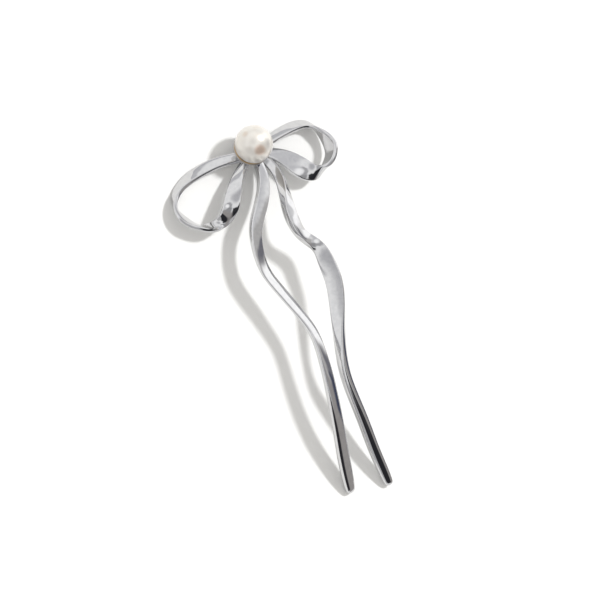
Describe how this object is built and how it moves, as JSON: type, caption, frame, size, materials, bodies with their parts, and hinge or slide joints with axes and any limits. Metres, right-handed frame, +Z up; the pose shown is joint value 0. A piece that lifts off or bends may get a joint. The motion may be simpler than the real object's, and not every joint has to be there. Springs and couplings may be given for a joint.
{
  "type": "two-prong hair fork",
  "caption": "Metal hair fork: an open ribbon bow with two twisted loops, wavy ribbon prongs that slide into a bun, and a pearl set in a shallow cup on the knot.",
  "frame": {"origin": "middle of the bounding box's bottom, on the surface that the fork lies on", "axes": "+Z up off the surface, +Y from the prong tips to the bow, +X across the bow to the smaller loop"},
  "size_m": [0.0487, 0.1006, 0.0129],
  "materials": {
    "polished_metal": "mirror-polished silver-coloured plating",
    "pearl": "nacreous cream-white pearl, glossy"
  },
  "bodies": {
    "root": {"hair_fork": "polished_metal", "pearl": "pearl"}
  },
  "joints": []
}
